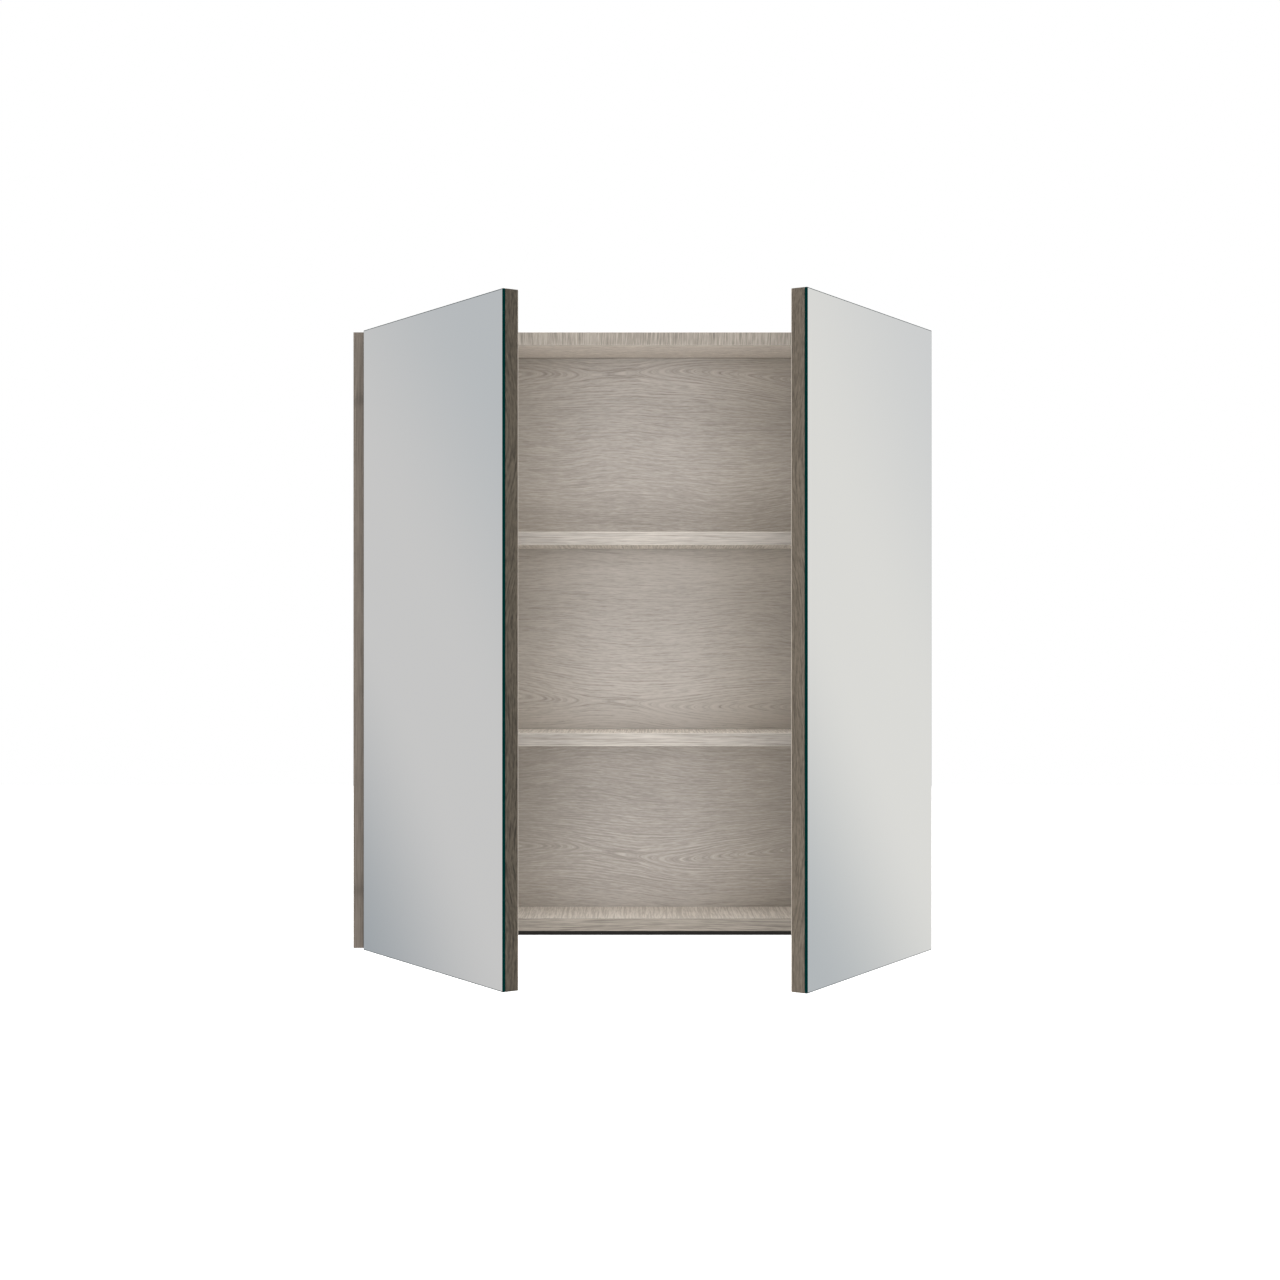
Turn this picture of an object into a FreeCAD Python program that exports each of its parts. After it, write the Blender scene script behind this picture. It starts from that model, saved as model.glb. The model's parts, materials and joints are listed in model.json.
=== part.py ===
"""Bathroom mirror cabinet: a wood-look wall cabinet with two mirrored doors, shown open.

Millimetres, +Z up, +X to the right, the wall is the plane Y = 0 and the cabinet reaches towards -Y.
The origin is the centre of the wall screw pattern, at mid height on the wall face.
"""
import FreeCAD, Part
import os
from math import sqrt

Vector = FreeCAD.Vector

# Carcass
cabinet_width = 700.0
cabinet_height = 750.0
carcass_depth = 120.0
side_thickness = 16.0
top_thickness = 16.0
bottom_thickness = 16.0
back_thickness = 16.0
shelf_thickness = 16.0
edge_band = 1.0
bottom_recess = 20.0
lower_shelf_level = 246.0
upper_shelf_level = 491.0
shelf_end_clearance = 1.0
shelf_back_clearance = 1.0
shelf_setback = 1.0

# Doors, closed: the left one leaves its side's front edge bare, the right one covers its side
left_reveal = 18.5
right_reveal = 2.0
meeting_gap = 3.0
door_gap = 3.0
door_board = 16.0
door_band = 1.0
mirror_thickness = 3.0
mirror_edge_bevel = 0.6
tape_thickness = 0.5
tape_width = 25.0
tape_margin = 30.0
tape_count = 4
bumper_radius = 4.0
bumper_clearance = 0.3
bumper_from_free_edge = 14.0
left_open_angle = 56.1
right_open_angle = 58.7

# Cup hinges
hinge_inset = 72.5
swing_clearance = 0.9
pin_from_back = 10.5
pin_radius = 1.2
pin_fit = 0.04
eye_wall = 1.0
eye_clearance = 0.6
neck_width = 8.0
neck_thickness = 2.8
neck_clearance = 3.1
cup_radius = 17.5
cup_wall = 0.6
cup_fit = 0.05
cup_flange_lip = 0.7
cup_flange_thickness = 1.0
cup_wing_width = 16.0
cup_wing_end = 6.5
cup_lug_thickness = 2.4
cup_lug_gap = 0.4
cup_lug_reach = 3.2
cup_screw_spacing = 45.0
cup_screw_offset = 9.5
arm_offset = 6.0
arm_thickness = 3.0
arm_width = 14.0
arm_flange = 1.2
arm_length = 44.0
arm_flange_gap = 0.3
crank_start = 9.0
crank_run = 11.0
plate_from_front = 37.0
plate_base = 2.0
plate_wing_depth = 16.0
plate_screw_spacing = 32.0
plate_wing_end = 9.0
plate_rib_length = 38.0

# Screws, dowels and pins
screw_fit = 0.06
cup_screw_radius = 1.75
cup_screw_head_radius = 3.2
cup_screw_head = 1.2
cup_screw_length = 10.0
plate_screw_radius = 2.0
plate_screw_head_radius = 3.5
plate_screw_head = 2.0
plate_screw_length = 11.0
arm_screw_radius = 1.8
arm_screw_head_radius = 3.0
arm_screw_head = 1.6
arm_screw_spacing = 18.0
screw_slot_width = 0.9
screw_slot_depth = 0.7
assembly_screw_radius = 2.5
assembly_screw_head_radius = 4.8
assembly_screw_head = 3.0
assembly_screw_length = 46.0
assembly_screw_inset = 28.0
assembly_screw_tip_room = 1.0
cap_thickness = 1.5
dowel_radius = 4.0
dowel_depth_in_side = 10.0
dowel_length = 32.0
dowel_inset = 46.0
shelf_pin_radius = 2.5
shelf_pin_depth = 9.0
shelf_pin_reach = 9.0
shelf_pin_tongue = 2.5
shelf_pin_inset = 24.0
back_screw_rise = 250.0

# Wall screw holes through the back
wall_hole_radius = 3.0
wall_hole_sink_radius = 6.0
wall_hole_sink = 3.0
wall_hole_span_x = 540.0
wall_hole_span_z = 580.0

# Places worked out from those sizes
half_width = cabinet_width / 2
half_height = cabinet_height / 2
inner_x = half_width - side_thickness
front_y = -carcass_depth
back_front_y = -back_thickness
bottom_z = bottom_recess - half_height
bottom_top_z = bottom_z + bottom_thickness
top_under_z = half_height - top_thickness
lower_shelf_z = lower_shelf_level - half_height
upper_shelf_z = upper_shelf_level - half_height
door_width = (cabinet_width - left_reveal - right_reveal - meeting_gap) / 2
door_back_y = front_y - door_gap
board_front_y = door_back_y - door_board
mirror_back_y = board_front_y - tape_thickness
mirror_front_y = mirror_back_y - mirror_thickness
hinge_levels = {"upper": half_height - hinge_inset, "lower": hinge_inset - half_height}
open_angles = {"left": left_open_angle, "right": right_open_angle}

# The pin sits as far from the door's edge as the swing past the carcass front allows
pin_y = door_back_y - pin_from_back
pin_from_edge = sqrt((pin_from_back + door_gap - swing_clearance) ** 2 - pin_from_back ** 2)
eye_radius = pin_radius + pin_fit + eye_wall
cup_inner_radius = cup_radius - cup_wall
cup_depth = pin_from_back + eye_radius + eye_clearance + cup_wall
cup_half_chord = sqrt(cup_inner_radius ** 2 - (neck_width / 2) ** 2)
cup_from_edge = pin_from_edge - eye_radius - eye_clearance + cup_half_chord
neck_reach = pin_from_back + neck_thickness / 2 + neck_clearance
lug_start = neck_width / 2 + cup_lug_gap
lug_end = lug_start + cup_lug_thickness


def box(x_range, y_range, z_range):
    """A block between two places along each axis, given in any order."""
    lows = [min(pair) for pair in (x_range, y_range, z_range)]
    highs = [max(pair) for pair in (x_range, y_range, z_range)]
    return Part.makeBox(highs[0] - lows[0], highs[1] - lows[1], highs[2] - lows[2], Vector(*lows))


def rod(radius, start, end):
    """A round bar between two points."""
    run = Vector(*end) - Vector(*start)
    return Part.makeCylinder(radius, run.Length, Vector(*start), run)


def strap(points, thickness, z_range):
    """A flat strip bent through points in plan, round at its ends and corners."""
    low = min(z_range)
    width = max(z_range) - low
    strip = None
    for start, end in zip(points, points[1:]):
        run = Vector(end[0] - start[0], end[1] - start[1], 0)
        length = run.Length
        bar = Part.makeBox(length, thickness, width, Vector(0, -thickness / 2, 0))
        bar = bar.fuse(Part.makeCylinder(thickness / 2, width))
        bar = bar.fuse(Part.makeCylinder(thickness / 2, width, Vector(length, 0, 0)))
        turn = FreeCAD.Rotation(Vector(1, 0, 0), run)
        bar.Placement = FreeCAD.Placement(Vector(start[0], start[1], low), turn)
        strip = bar if strip is None else strip.fuse(bar)
    return strip.removeSplitter()


def screw(head_radius, head, shank_radius, seat, direction, length):
    """A slotted screw whose head rests on seat and whose shank runs along direction."""
    seat = Vector(*seat)
    way = Vector(*direction)
    body = Part.makeCylinder(head_radius, head, seat - way * head, way)
    body = body.fuse(Part.makeCylinder(shank_radius, length, seat, way))
    top = seat - way * head
    cut = Part.makeBox(2 * head_radius, screw_slot_width, screw_slot_depth,
                       Vector(-head_radius, -screw_slot_width / 2, 0))
    cut.Placement = FreeCAD.Placement(top, FreeCAD.Rotation(Vector(0, 0, 1), way))
    return body.cut(cut).removeSplitter()


def cut_all(shape, cutters):
    """Shape with every cutter taken away."""
    return shape.cut(Part.makeCompound(cutters)) if cutters else shape


def sign(side):
    """Which way the outside of a side lies along X."""
    return -1 if side == "left" else 1


def door_edge(side):
    """Where the hinged edge of a closed door lies along X."""
    reveal = left_reveal if side == "left" else right_reveal
    return sign(side) * (half_width - reveal)


def across_door(side, distance):
    """A place along X, measured from the hinged edge into the closed door."""
    return door_edge(side) - sign(side) * distance


def opened(shape, side):
    """A piece of a closed door turned about its hinge pins to the open pose."""
    turned = shape.copy()
    axis = Vector(across_door(side, pin_from_edge), pin_y, 0)
    turned.rotate(axis, Vector(0, 0, sign(side)), open_angles[side])
    return turned


nodes = {}
cuts = {"left_side": [], "right_side": [], "top_panel": [], "bottom_panel": [], "back_panel": []}


def make_assembly_hardware():
    """Screws with caps and dowels that hold the top, bottom and back between the sides."""
    screws, caps, dowels, back_screws = [], [], [], []
    front_stop = front_y + assembly_screw_inset
    back_stop = back_front_y - assembly_screw_inset
    panels = {"top_panel": half_height - top_thickness / 2, "bottom_panel": bottom_z + bottom_thickness / 2}
    places = []
    for panel, z in panels.items():
        for y in (front_stop, back_stop):
            places.append((panel, y, z, screws))
    for z in (-back_screw_rise, 0.0, back_screw_rise):
        places.append(("back_panel", -back_thickness / 2, z, back_screws))
    for side in ("left", "right"):
        face = sign(side) * half_width
        inward = (-sign(side), 0, 0)
        for panel, y, z, group in places:
            seat_x = face - sign(side) * (cap_thickness + assembly_screw_head)
            group.append(screw(assembly_screw_head_radius, assembly_screw_head, assembly_screw_radius,
                               (seat_x, y, z), inward, assembly_screw_length))
            cap_end = face - sign(side) * cap_thickness
            caps.append(rod(assembly_screw_head_radius, (face, y, z), (cap_end, y, z)))
            counterbore = rod(assembly_screw_head_radius + screw_fit, (face, y, z), (seat_x, y, z))
            cuts[side + "_side"].append(counterbore)
            tip_x = seat_x - sign(side) * (assembly_screw_length + assembly_screw_tip_room)
            hole = rod(assembly_screw_radius + screw_fit, (face, y, z), (tip_x, y, z))
            cuts[side + "_side"].append(hole)
            cuts[panel].append(hole)
        for panel, z in panels.items():
            for y in (front_y + dowel_inset, back_front_y - dowel_inset):
                start = sign(side) * (inner_x + dowel_depth_in_side)
                end = start - sign(side) * dowel_length
                dowels.append(rod(dowel_radius, (start, y, z), (end, y, z)))
                hole = rod(dowel_radius + screw_fit, (start, y, z), (end, y, z))
                cuts[side + "_side"].append(hole)
                cuts[panel].append(hole)
    nodes["assembly_screws"] = Part.makeCompound(screws)
    nodes["back_screws"] = Part.makeCompound(back_screws)
    nodes["screw_caps"] = Part.makeCompound(caps)
    nodes["assembly_dowels"] = Part.makeCompound(dowels)


def make_shelf(name, z):
    """A loose shelf with its front band, on four pins plugged into the sides."""
    end_x = inner_x - shelf_end_clearance
    shelf_front = front_y + shelf_setback
    band_back = shelf_front + edge_band
    shelf_back = back_front_y - shelf_back_clearance
    z_range = (z, z + shelf_thickness)
    nodes[name] = box((-end_x, end_x), (shelf_back, band_back), z_range)
    nodes[name + "_band"] = box((-end_x, end_x), (band_back, shelf_front), z_range)
    pins = []
    for side in ("left", "right"):
        for y in (band_back + shelf_pin_inset, back_front_y - shelf_pin_inset):
            axis_z = z - shelf_pin_tongue
            inner = sign(side) * inner_x
            deep = inner + sign(side) * shelf_pin_depth
            tip = inner - sign(side) * shelf_pin_reach
            tongue = box((inner, tip), (y - 2 * shelf_pin_radius, y + 2 * shelf_pin_radius), (axis_z, z))
            pin = rod(shelf_pin_radius, (deep, y, axis_z), (tip, y, axis_z))
            pins.append(pin.fuse(tongue).removeSplitter())
            hole = rod(shelf_pin_radius + screw_fit, (deep, y, axis_z), (inner, y, axis_z))
            cuts[side + "_side"].append(hole)
    nodes[name + "_pins"] = Part.makeCompound(pins)


def make_hinge_mount(side, level, z, plate_screws, arm_screws):
    """The mounting plate on the side board and the cranked arm that carries the pin."""
    out = sign(side)
    inner = out * inner_x
    plate_y = front_y + plate_from_front
    web_x = inner - out * arm_offset
    web_in = web_x - out * arm_thickness / 2
    web_out = web_x + out * arm_thickness / 2
    base_top = inner - out * plate_base
    rib_half = arm_width / 2 - arm_flange - arm_flange_gap
    rib_y = (plate_y - plate_rib_length / 2, plate_y + plate_rib_length / 2)
    wing_half = plate_screw_spacing / 2 + plate_wing_end
    wings = box((inner, base_top), (plate_y - plate_wing_depth / 2, plate_y + plate_wing_depth / 2),
                (z - wing_half, z + wing_half))
    plate = wings.fuse(box((inner, web_out), rib_y, (z - rib_half, z + rib_half)))
    for offset in (-plate_screw_spacing / 2, plate_screw_spacing / 2):
        seat = (base_top, plate_y, z + offset)
        plate_screws.append(screw(plate_screw_head_radius, plate_screw_head, plate_screw_radius, seat,
                                  (out, 0, 0), plate_screw_length))
        tip = (base_top + out * plate_screw_length, plate_y, z + offset)
        hole = rod(plate_screw_radius + screw_fit, seat, tip)
        plate = plate.cut(hole)
        cuts[side + "_side"].append(hole)

    pin_x = across_door(side, pin_from_edge)
    neck_x = across_door(side, pin_from_edge + neck_reach)
    crank_y = front_y + crank_start
    web_front = crank_y + crank_run
    half_neck = neck_width / 2
    path = [(pin_x, pin_y), (neck_x, pin_y), (neck_x, crank_y), (web_x, web_front)]
    arm = strap(path, neck_thickness, (z - half_neck, z + half_neck))
    arm = arm.fuse(rod(eye_radius, (pin_x, pin_y, z - half_neck), (pin_x, pin_y, z + half_neck)))
    web_y = (web_front, web_front + arm_length)
    half_arm = arm_width / 2
    arm = arm.fuse(box((web_in, web_out), web_y, (z - half_arm, z + half_arm)))
    flange_end = base_top - out * arm_flange_gap
    for edge in (-1, 1):
        flange_z = (z + edge * half_arm, z + edge * (half_arm - arm_flange))
        arm = arm.fuse(box((web_out, flange_end), web_y, flange_z))
    arm = arm.cut(rod(pin_radius + pin_fit, (pin_x, pin_y, z - neck_width), (pin_x, pin_y, z + neck_width)))
    for y in (plate_y - arm_screw_spacing / 2, plate_y + arm_screw_spacing / 2):
        seat = (web_in, y, z)
        length = abs(inner - web_in)
        arm_screws.append(screw(arm_screw_head_radius, arm_screw_head, arm_screw_radius, seat,
                                (out, 0, 0), length))
        hole = rod(arm_screw_radius + screw_fit, seat, (inner, y, z))
        arm = arm.cut(hole)
        plate = plate.cut(hole)
    nodes[side + "_" + level + "_hinge_plate"] = plate.removeSplitter()
    nodes[side + "_" + level + "_hinge_arm"] = arm.removeSplitter()


def make_hinge_cup(side, level, z, screws, board_cuts):
    """The cup let into the door's back, its pin and its two screws, with the door closed."""
    centre_x = across_door(side, cup_from_edge)
    floor_y = door_back_y - cup_depth
    flange_y = door_back_y + cup_flange_thickness
    shell = rod(cup_radius, (centre_x, floor_y, z), (centre_x, door_back_y, z))
    lip = rod(cup_radius + cup_flange_lip, (centre_x, door_back_y, z), (centre_x, flange_y, z))
    screw_x = across_door(side, cup_from_edge + cup_screw_offset)
    wing_half = cup_screw_spacing / 2 + cup_wing_end
    wings = box((screw_x - cup_wing_width / 2, screw_x + cup_wing_width / 2), (door_back_y, flange_y),
                (z - wing_half, z + wing_half))
    hollow = rod(cup_inner_radius, (centre_x, floor_y + cup_wall, z), (centre_x, flange_y, z))
    cup = shell.fuse([lip, wings]).cut(hollow)
    pin_x = across_door(side, pin_from_edge)
    for way in (-1, 1):
        lug = box((across_door(side, 0), pin_x - sign(side) * cup_lug_reach),
                  (floor_y, pin_y + cup_lug_reach), (z + way * lug_start, z + way * lug_end))
        cup = cup.fuse(lug.common(shell))
    pin_ends = ((pin_x, pin_y, z - lug_end), (pin_x, pin_y, z + lug_end))
    cup = cup.cut(rod(pin_radius, *pin_ends))
    for offset in (-cup_screw_spacing / 2, cup_screw_spacing / 2):
        seat = (screw_x, flange_y, z + offset)
        screws.append(screw(cup_screw_head_radius, cup_screw_head, cup_screw_radius, seat,
                            (0, -1, 0), cup_screw_length))
        hole = rod(cup_screw_radius + screw_fit, seat, (screw_x, flange_y - cup_screw_length, z + offset))
        cup = cup.cut(hole)
        board_cuts.append(hole)
    board_cuts.append(rod(cup_radius + cup_fit, (centre_x, floor_y, z), (centre_x, door_back_y, z)))
    nodes[side + "_" + level + "_hinge_cup"] = opened(cup.removeSplitter(), side)
    nodes[side + "_" + level + "_hinge_pin"] = opened(rod(pin_radius, *pin_ends), side)


def make_door(side):
    """A banded board with a taped-on mirror, hinge cups and soft bumpers, turned open."""
    hinged = across_door(side, 0)
    free = across_door(side, door_width)
    z_range = (-half_height, half_height)
    board_z = (-half_height + door_band, half_height - door_band)
    whole = box((hinged, free), (door_back_y, board_front_y), z_range)
    core_x = (across_door(side, door_band), across_door(side, door_width - door_band))
    core = box(core_x, (door_back_y, board_front_y), board_z)
    screws, board_cuts = [], []
    for level, z in hinge_levels.items():
        make_hinge_cup(side, level, z, screws, board_cuts)
    mirror = box((hinged, free), (mirror_back_y, mirror_front_y), z_range)
    front_edges = []
    for edge in mirror.Edges:
        if abs(edge.CenterOfMass.y - mirror_front_y) < mirror_edge_bevel:
            front_edges.append(edge)
    mirror = mirror.makeChamfer(mirror_edge_bevel, front_edges)
    tapes = []
    tape_step = (door_width - 2 * tape_margin - tape_width) / (tape_count - 1)
    for index in range(tape_count):
        start = tape_margin + index * tape_step
        tape_x = (across_door(side, start), across_door(side, start + tape_width))
        tape_z = (-half_height + tape_margin, half_height - tape_margin)
        tapes.append(box(tape_x, (board_front_y, mirror_back_y), tape_z))
    bumpers = []
    bumper_x = across_door(side, door_width - bumper_from_free_edge)
    for z in (bottom_z + bottom_thickness / 2, half_height - top_thickness / 2):
        tip = (bumper_x, front_y - bumper_clearance, z)
        bumpers.append(rod(bumper_radius, (bumper_x, door_back_y, z), tip))
    nodes[side + "_door_board"] = opened(cut_all(core, board_cuts), side)
    nodes[side + "_door_band"] = opened(whole.cut(core), side)
    nodes[side + "_mirror"] = opened(mirror, side)
    nodes[side + "_mirror_tape"] = opened(Part.makeCompound(tapes), side)
    nodes[side + "_door_bumpers"] = opened(Part.makeCompound(bumpers), side)
    nodes[side + "_cup_screws"] = opened(Part.makeCompound(screws), side)


def make_hinges():
    """Four hinge mounts, with all their screws in two groups."""
    plate_screws, arm_screws = [], []
    for side in ("left", "right"):
        for level, z in hinge_levels.items():
            make_hinge_mount(side, level, z, plate_screws, arm_screws)
    nodes["hinge_plate_screws"] = Part.makeCompound(plate_screws)
    nodes["hinge_arm_screws"] = Part.makeCompound(arm_screws)


def make_wall_holes():
    """Countersunk holes near the corners of the back, for the screws into the wall."""
    for x in (-wall_hole_span_x / 2, wall_hole_span_x / 2):
        for z in (-wall_hole_span_z / 2, wall_hole_span_z / 2):
            cuts["back_panel"].append(rod(wall_hole_radius, (x, 0, z), (x, back_front_y, z)))
            sink = Part.makeCone(wall_hole_sink_radius, wall_hole_radius, wall_hole_sink,
                                 Vector(x, back_front_y, z), Vector(0, 1, 0))
            cuts["back_panel"].append(sink)


def make_carcass():
    """The boards of the box, each with its holes, and the bands on their front edges."""
    band_back = front_y + edge_band
    full_z = (-half_height, half_height)
    for side in ("left", "right"):
        side_x = (sign(side) * inner_x, sign(side) * half_width)
        name = side + "_side"
        nodes[name] = cut_all(box(side_x, (0, band_back), full_z), cuts[name])
        nodes[name + "_band"] = box(side_x, (band_back, front_y), full_z)
    across = (-inner_x, inner_x)
    levels = {"top_panel": (top_under_z, half_height), "bottom_panel": (bottom_z, bottom_top_z)}
    for name, z_range in levels.items():
        nodes[name] = cut_all(box(across, (back_front_y, band_back), z_range), cuts[name])
        nodes[name + "_band"] = box(across, (band_back, front_y), z_range)
    nodes["back_panel"] = cut_all(box(across, (0, back_front_y), full_z), cuts["back_panel"])


make_assembly_hardware()
make_shelf("lower_shelf", lower_shelf_z)
make_shelf("upper_shelf", upper_shelf_z)
make_hinges()
make_wall_holes()
make_carcass()
for door_side in ("left", "right"):
    make_door(door_side)

os.makedirs("parts", exist_ok=True)
for node_name, shape in nodes.items():
    shape.exportStep("parts/" + node_name + ".step")
    state = "valid" if shape.isValid() else "INVALID"
    print(node_name, len(shape.Solids), "solids", round(shape.Volume), "mm3", state)
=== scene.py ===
# %% [markdown]
# # A bathroom mirror cabinet
# This lesson dresses a wall cabinet of grey oak boards with two mirrored doors. The boards, hinges and
# screws come from the CAD frame at their real size, in metres, and stay where they are. Blender adds
# their finishes, the eased edges that catch the light, a camera and a plain studio.

# %% Load the frame
import json
from math import pi, radians

import bmesh
import bpy
from mathutils import Matrix, Vector


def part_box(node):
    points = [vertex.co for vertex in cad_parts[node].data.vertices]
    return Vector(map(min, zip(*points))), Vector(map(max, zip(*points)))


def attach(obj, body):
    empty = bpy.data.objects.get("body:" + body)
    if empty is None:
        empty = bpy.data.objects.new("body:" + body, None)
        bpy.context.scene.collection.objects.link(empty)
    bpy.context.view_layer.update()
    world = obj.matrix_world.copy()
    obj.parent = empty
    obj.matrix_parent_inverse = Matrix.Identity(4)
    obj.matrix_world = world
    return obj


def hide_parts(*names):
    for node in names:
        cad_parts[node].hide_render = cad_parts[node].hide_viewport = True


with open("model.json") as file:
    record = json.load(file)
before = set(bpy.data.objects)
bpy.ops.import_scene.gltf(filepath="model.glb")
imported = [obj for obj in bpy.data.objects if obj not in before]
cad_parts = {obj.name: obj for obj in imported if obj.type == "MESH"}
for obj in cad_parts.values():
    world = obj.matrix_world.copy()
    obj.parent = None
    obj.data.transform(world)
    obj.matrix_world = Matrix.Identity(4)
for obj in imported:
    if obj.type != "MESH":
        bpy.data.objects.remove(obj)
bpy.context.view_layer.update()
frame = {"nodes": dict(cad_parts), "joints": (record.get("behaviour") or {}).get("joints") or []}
nodes = frame["nodes"]
scene = bpy.context.scene
open_angle = {joint["child"]: radians(-joint["range_deg"][0]) for joint in frame["joints"]}
print("nodes:", len(nodes), "doors open by:", open_angle)

# %% [markdown]
# ## Writing shader maths as expressions
# A material is a graph of small nodes. Wiring each one by hand hides the idea, so one small class wraps
# a socket: adding or multiplying two wrapped sockets adds the Math node that does it, and one method
# makes any other node. Colours need their own nodes, because a Math node turns a colour grey.

# %% A socket that can be added and multiplied


class Flow:
    """One socket of a node tree, ready for arithmetic."""

    def __init__(self, tree, socket=None):
        self.tree = tree
        self.socket = socket

    def node(self, kind, settings=None, inputs=None, output=0):
        """Any node: its type, its settings, then the values or links of its sockets."""
        made = self.tree.nodes.new(kind)
        for name, value in (settings or {}).items():
            if name == "stops":
                self.set_stops(made.color_ramp, value)
            else:
                setattr(made, name, value)
        for name, value in (inputs or {}).items():
            if isinstance(value, Flow):
                self.tree.links.new(value.socket, made.inputs[name])
            else:
                made.inputs[name].default_value = value
        return Flow(self.tree, made.outputs[output])

    @staticmethod
    def set_stops(ramp, stops):
        """Give a colour ramp its stops, each a place and a colour."""
        while len(ramp.elements) < len(stops):
            ramp.elements.new(1.0)
        for element, (place, colour) in zip(ramp.elements, stops):
            element.position = place
            element.color = (*colour, 1.0)

    def maths(self, operation, first, second=0.0):
        return self.node("ShaderNodeMath", {"operation": operation}, {0: first, 1: second})

    def __add__(self, other):
        return self.maths("ADD", self, other)

    def __radd__(self, other):
        return self.maths("ADD", other, self)

    def __sub__(self, other):
        return self.maths("SUBTRACT", self, other)

    def __rsub__(self, other):
        return self.maths("SUBTRACT", other, self)

    def __mul__(self, other):
        return self.maths("MULTIPLY", self, other)

    def __rmul__(self, other):
        return self.maths("MULTIPLY", other, self)

    def __abs__(self):
        return self.maths("ABSOLUTE", self)

    def step(self, low, high):
        """0 below low, 1 above high, smooth between them."""
        settings = {"interpolation_type": "SMOOTHSTEP"}
        return self.node("ShaderNodeMapRange", settings, {"Value": self, "From Min": low, "From Max": high})

    def wave(self):
        """A sine of this value, moved to run from 0 to 1."""
        return self.maths("SINE", self) * 0.5 + 0.5


print("arithmetic on sockets ready")

# %% [markdown]
# ## Places, noise and colours
# The same few nodes come up in every finish: where a point lies on the object, soft noise there, a
# value painted on some faces, and a mix of two colours. Each gets a function of its own, so that a
# finish reads like a recipe.

# %% Nodes that every finish uses


def object_place(flow):
    """Where a point lies on the object, in metres."""
    return flow.node("ShaderNodeTexCoord", output="Object")


def painted(flow, name):
    """A value painted on the faces of a piece."""
    return flow.node("ShaderNodeAttribute", {"attribute_name": name}, output="Fac")


def split(flow, vector):
    """The three parts of a vector, by axis."""
    return {axis: flow.node("ShaderNodeSeparateXYZ", None, {"Vector": vector}, axis) for axis in "XYZ"}


def join(flow, x, y, z):
    """A vector from three values."""
    return flow.node("ShaderNodeCombineXYZ", None, {"X": x, "Y": y, "Z": z})


def soft_noise(flow, point, scale, detail=2.0, roughness=0.5):
    """Soft noise from 0 to 1 at a point."""
    inputs = {"Vector": point, "Scale": scale, "Detail": detail, "Roughness": roughness}
    return flow.node("ShaderNodeTexNoise", None, inputs)


def blend(flow, factor, first, second, way="MIX"):
    """Mix two colours by a factor."""
    first, second = (side if isinstance(side, Flow) else (*side, 1.0) for side in (first, second))
    settings = {"data_type": "RGBA", "blend_type": way}
    return flow.node("ShaderNodeMix", settings, {0: factor, 6: first, 7: second}, output=2)


def bump(flow, height, strength, distance):
    """A surface that stands up where height is large."""
    inputs = {"Height": height, "Strength": strength, "Distance": distance}
    return flow.node("ShaderNodeBump", None, inputs)


print("nodes for finishes ready")

# %% [markdown]
# ## Colours and dressing
# Shaders count in linear light, while colours are picked on a screen, so one function turns one into the
# other. Another fills the sockets of a material's main shader, and a last one puts a finish on an
# object in place of the plain one that it was loaded with.

# %% Helpers for materials


def linear(red, green, blue):
    """A screen colour, from 0 to 255, as the linear values that shaders use."""
    values = []
    for part in (red, green, blue):
        part = part / 255
        values.append(part / 12.92 if part <= 0.04045 else ((part + 0.055) / 1.055) ** 2.4)
    return tuple(values)


def scaled(colour, amount):
    """A colour made darker or lighter."""
    return tuple(part * amount for part in colour)


def new_finish(name):
    """A material with one main shader, returned with a Flow to build on."""
    material = bpy.data.materials.new(name)
    material.use_nodes = True
    tree = material.node_tree
    return material, Flow(tree), tree.nodes["Principled BSDF"]


def feed(shader, sockets):
    """Set or link sockets of the main shader."""
    for name, value in sockets.items():
        if isinstance(value, Flow):
            value.tree.links.new(value.socket, shader.inputs[name])
        else:
            shader.inputs[name].default_value = value


def wear(names, material):
    """Give CAD nodes or pieces a finish in place of what they came with."""
    for name in names:
        mesh = bpy.data.objects[name].data
        mesh.materials.clear()
        mesh.materials.append(material)


print("mid grey of a screen in linear light:", round(linear(128, 128, 128)[0], 3))

# %% [markdown]
# ## Eased edge bands
# Every board has a band glued to its sawn edge, and the band's corners are rounded with a file so that
# they don't chip. That small radius draws the thin pale line along each edge of a real cabinet. A Bevel
# modifier could round them, but it can't say which faces are new. Here the strips are boxes with a bevel
# on their front edges, and the bevelled faces are marked in an attribute, so the finish can paint a pale
# highlight there, on top of the light that they catch.

# %% Helpers for pieces
touching = 1e-6
ease_segments = 3


def edges_at(mesh, depth):
    """The edges of a bmesh that lie at one depth."""
    return [edge for edge in mesh.edges if all(abs(vert.co.y - depth) < touching for vert in edge.verts)]


def slab(low, high):
    """A box between two corners."""
    made = bmesh.new()
    shape = Matrix.Translation((low + high) / 2) @ Matrix.Diagonal((*(high - low), 1.0))
    bmesh.ops.create_cube(made, size=1.0, matrix=shape)
    return made


def ease(mesh, edges, amount, edge_highlight_share=1.0):
    """Round some edges of a bmesh and mark on the new faces how much painted highlight they get."""
    arris = mesh.faces.layers.float.get("arris") or mesh.faces.layers.float.new("arris")
    rounded = bmesh.ops.bevel(mesh, geom=edges, offset=amount, offset_type="OFFSET", segments=ease_segments,
                              profile=0.5, affect="EDGES", material=-1)
    for face in rounded["faces"]:
        face[arris] = edge_highlight_share


def new_piece(name, mesh, body, node):
    """Turn a bmesh into a piece that rides on a body and stands for a CAD node."""
    data = bpy.data.meshes.new(name)
    mesh.to_mesh(data)
    mesh.free()
    piece = bpy.data.objects.new(name, data)
    scene.collection.objects.link(piece)
    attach(piece, body)
    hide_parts(node)
    return piece


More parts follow.
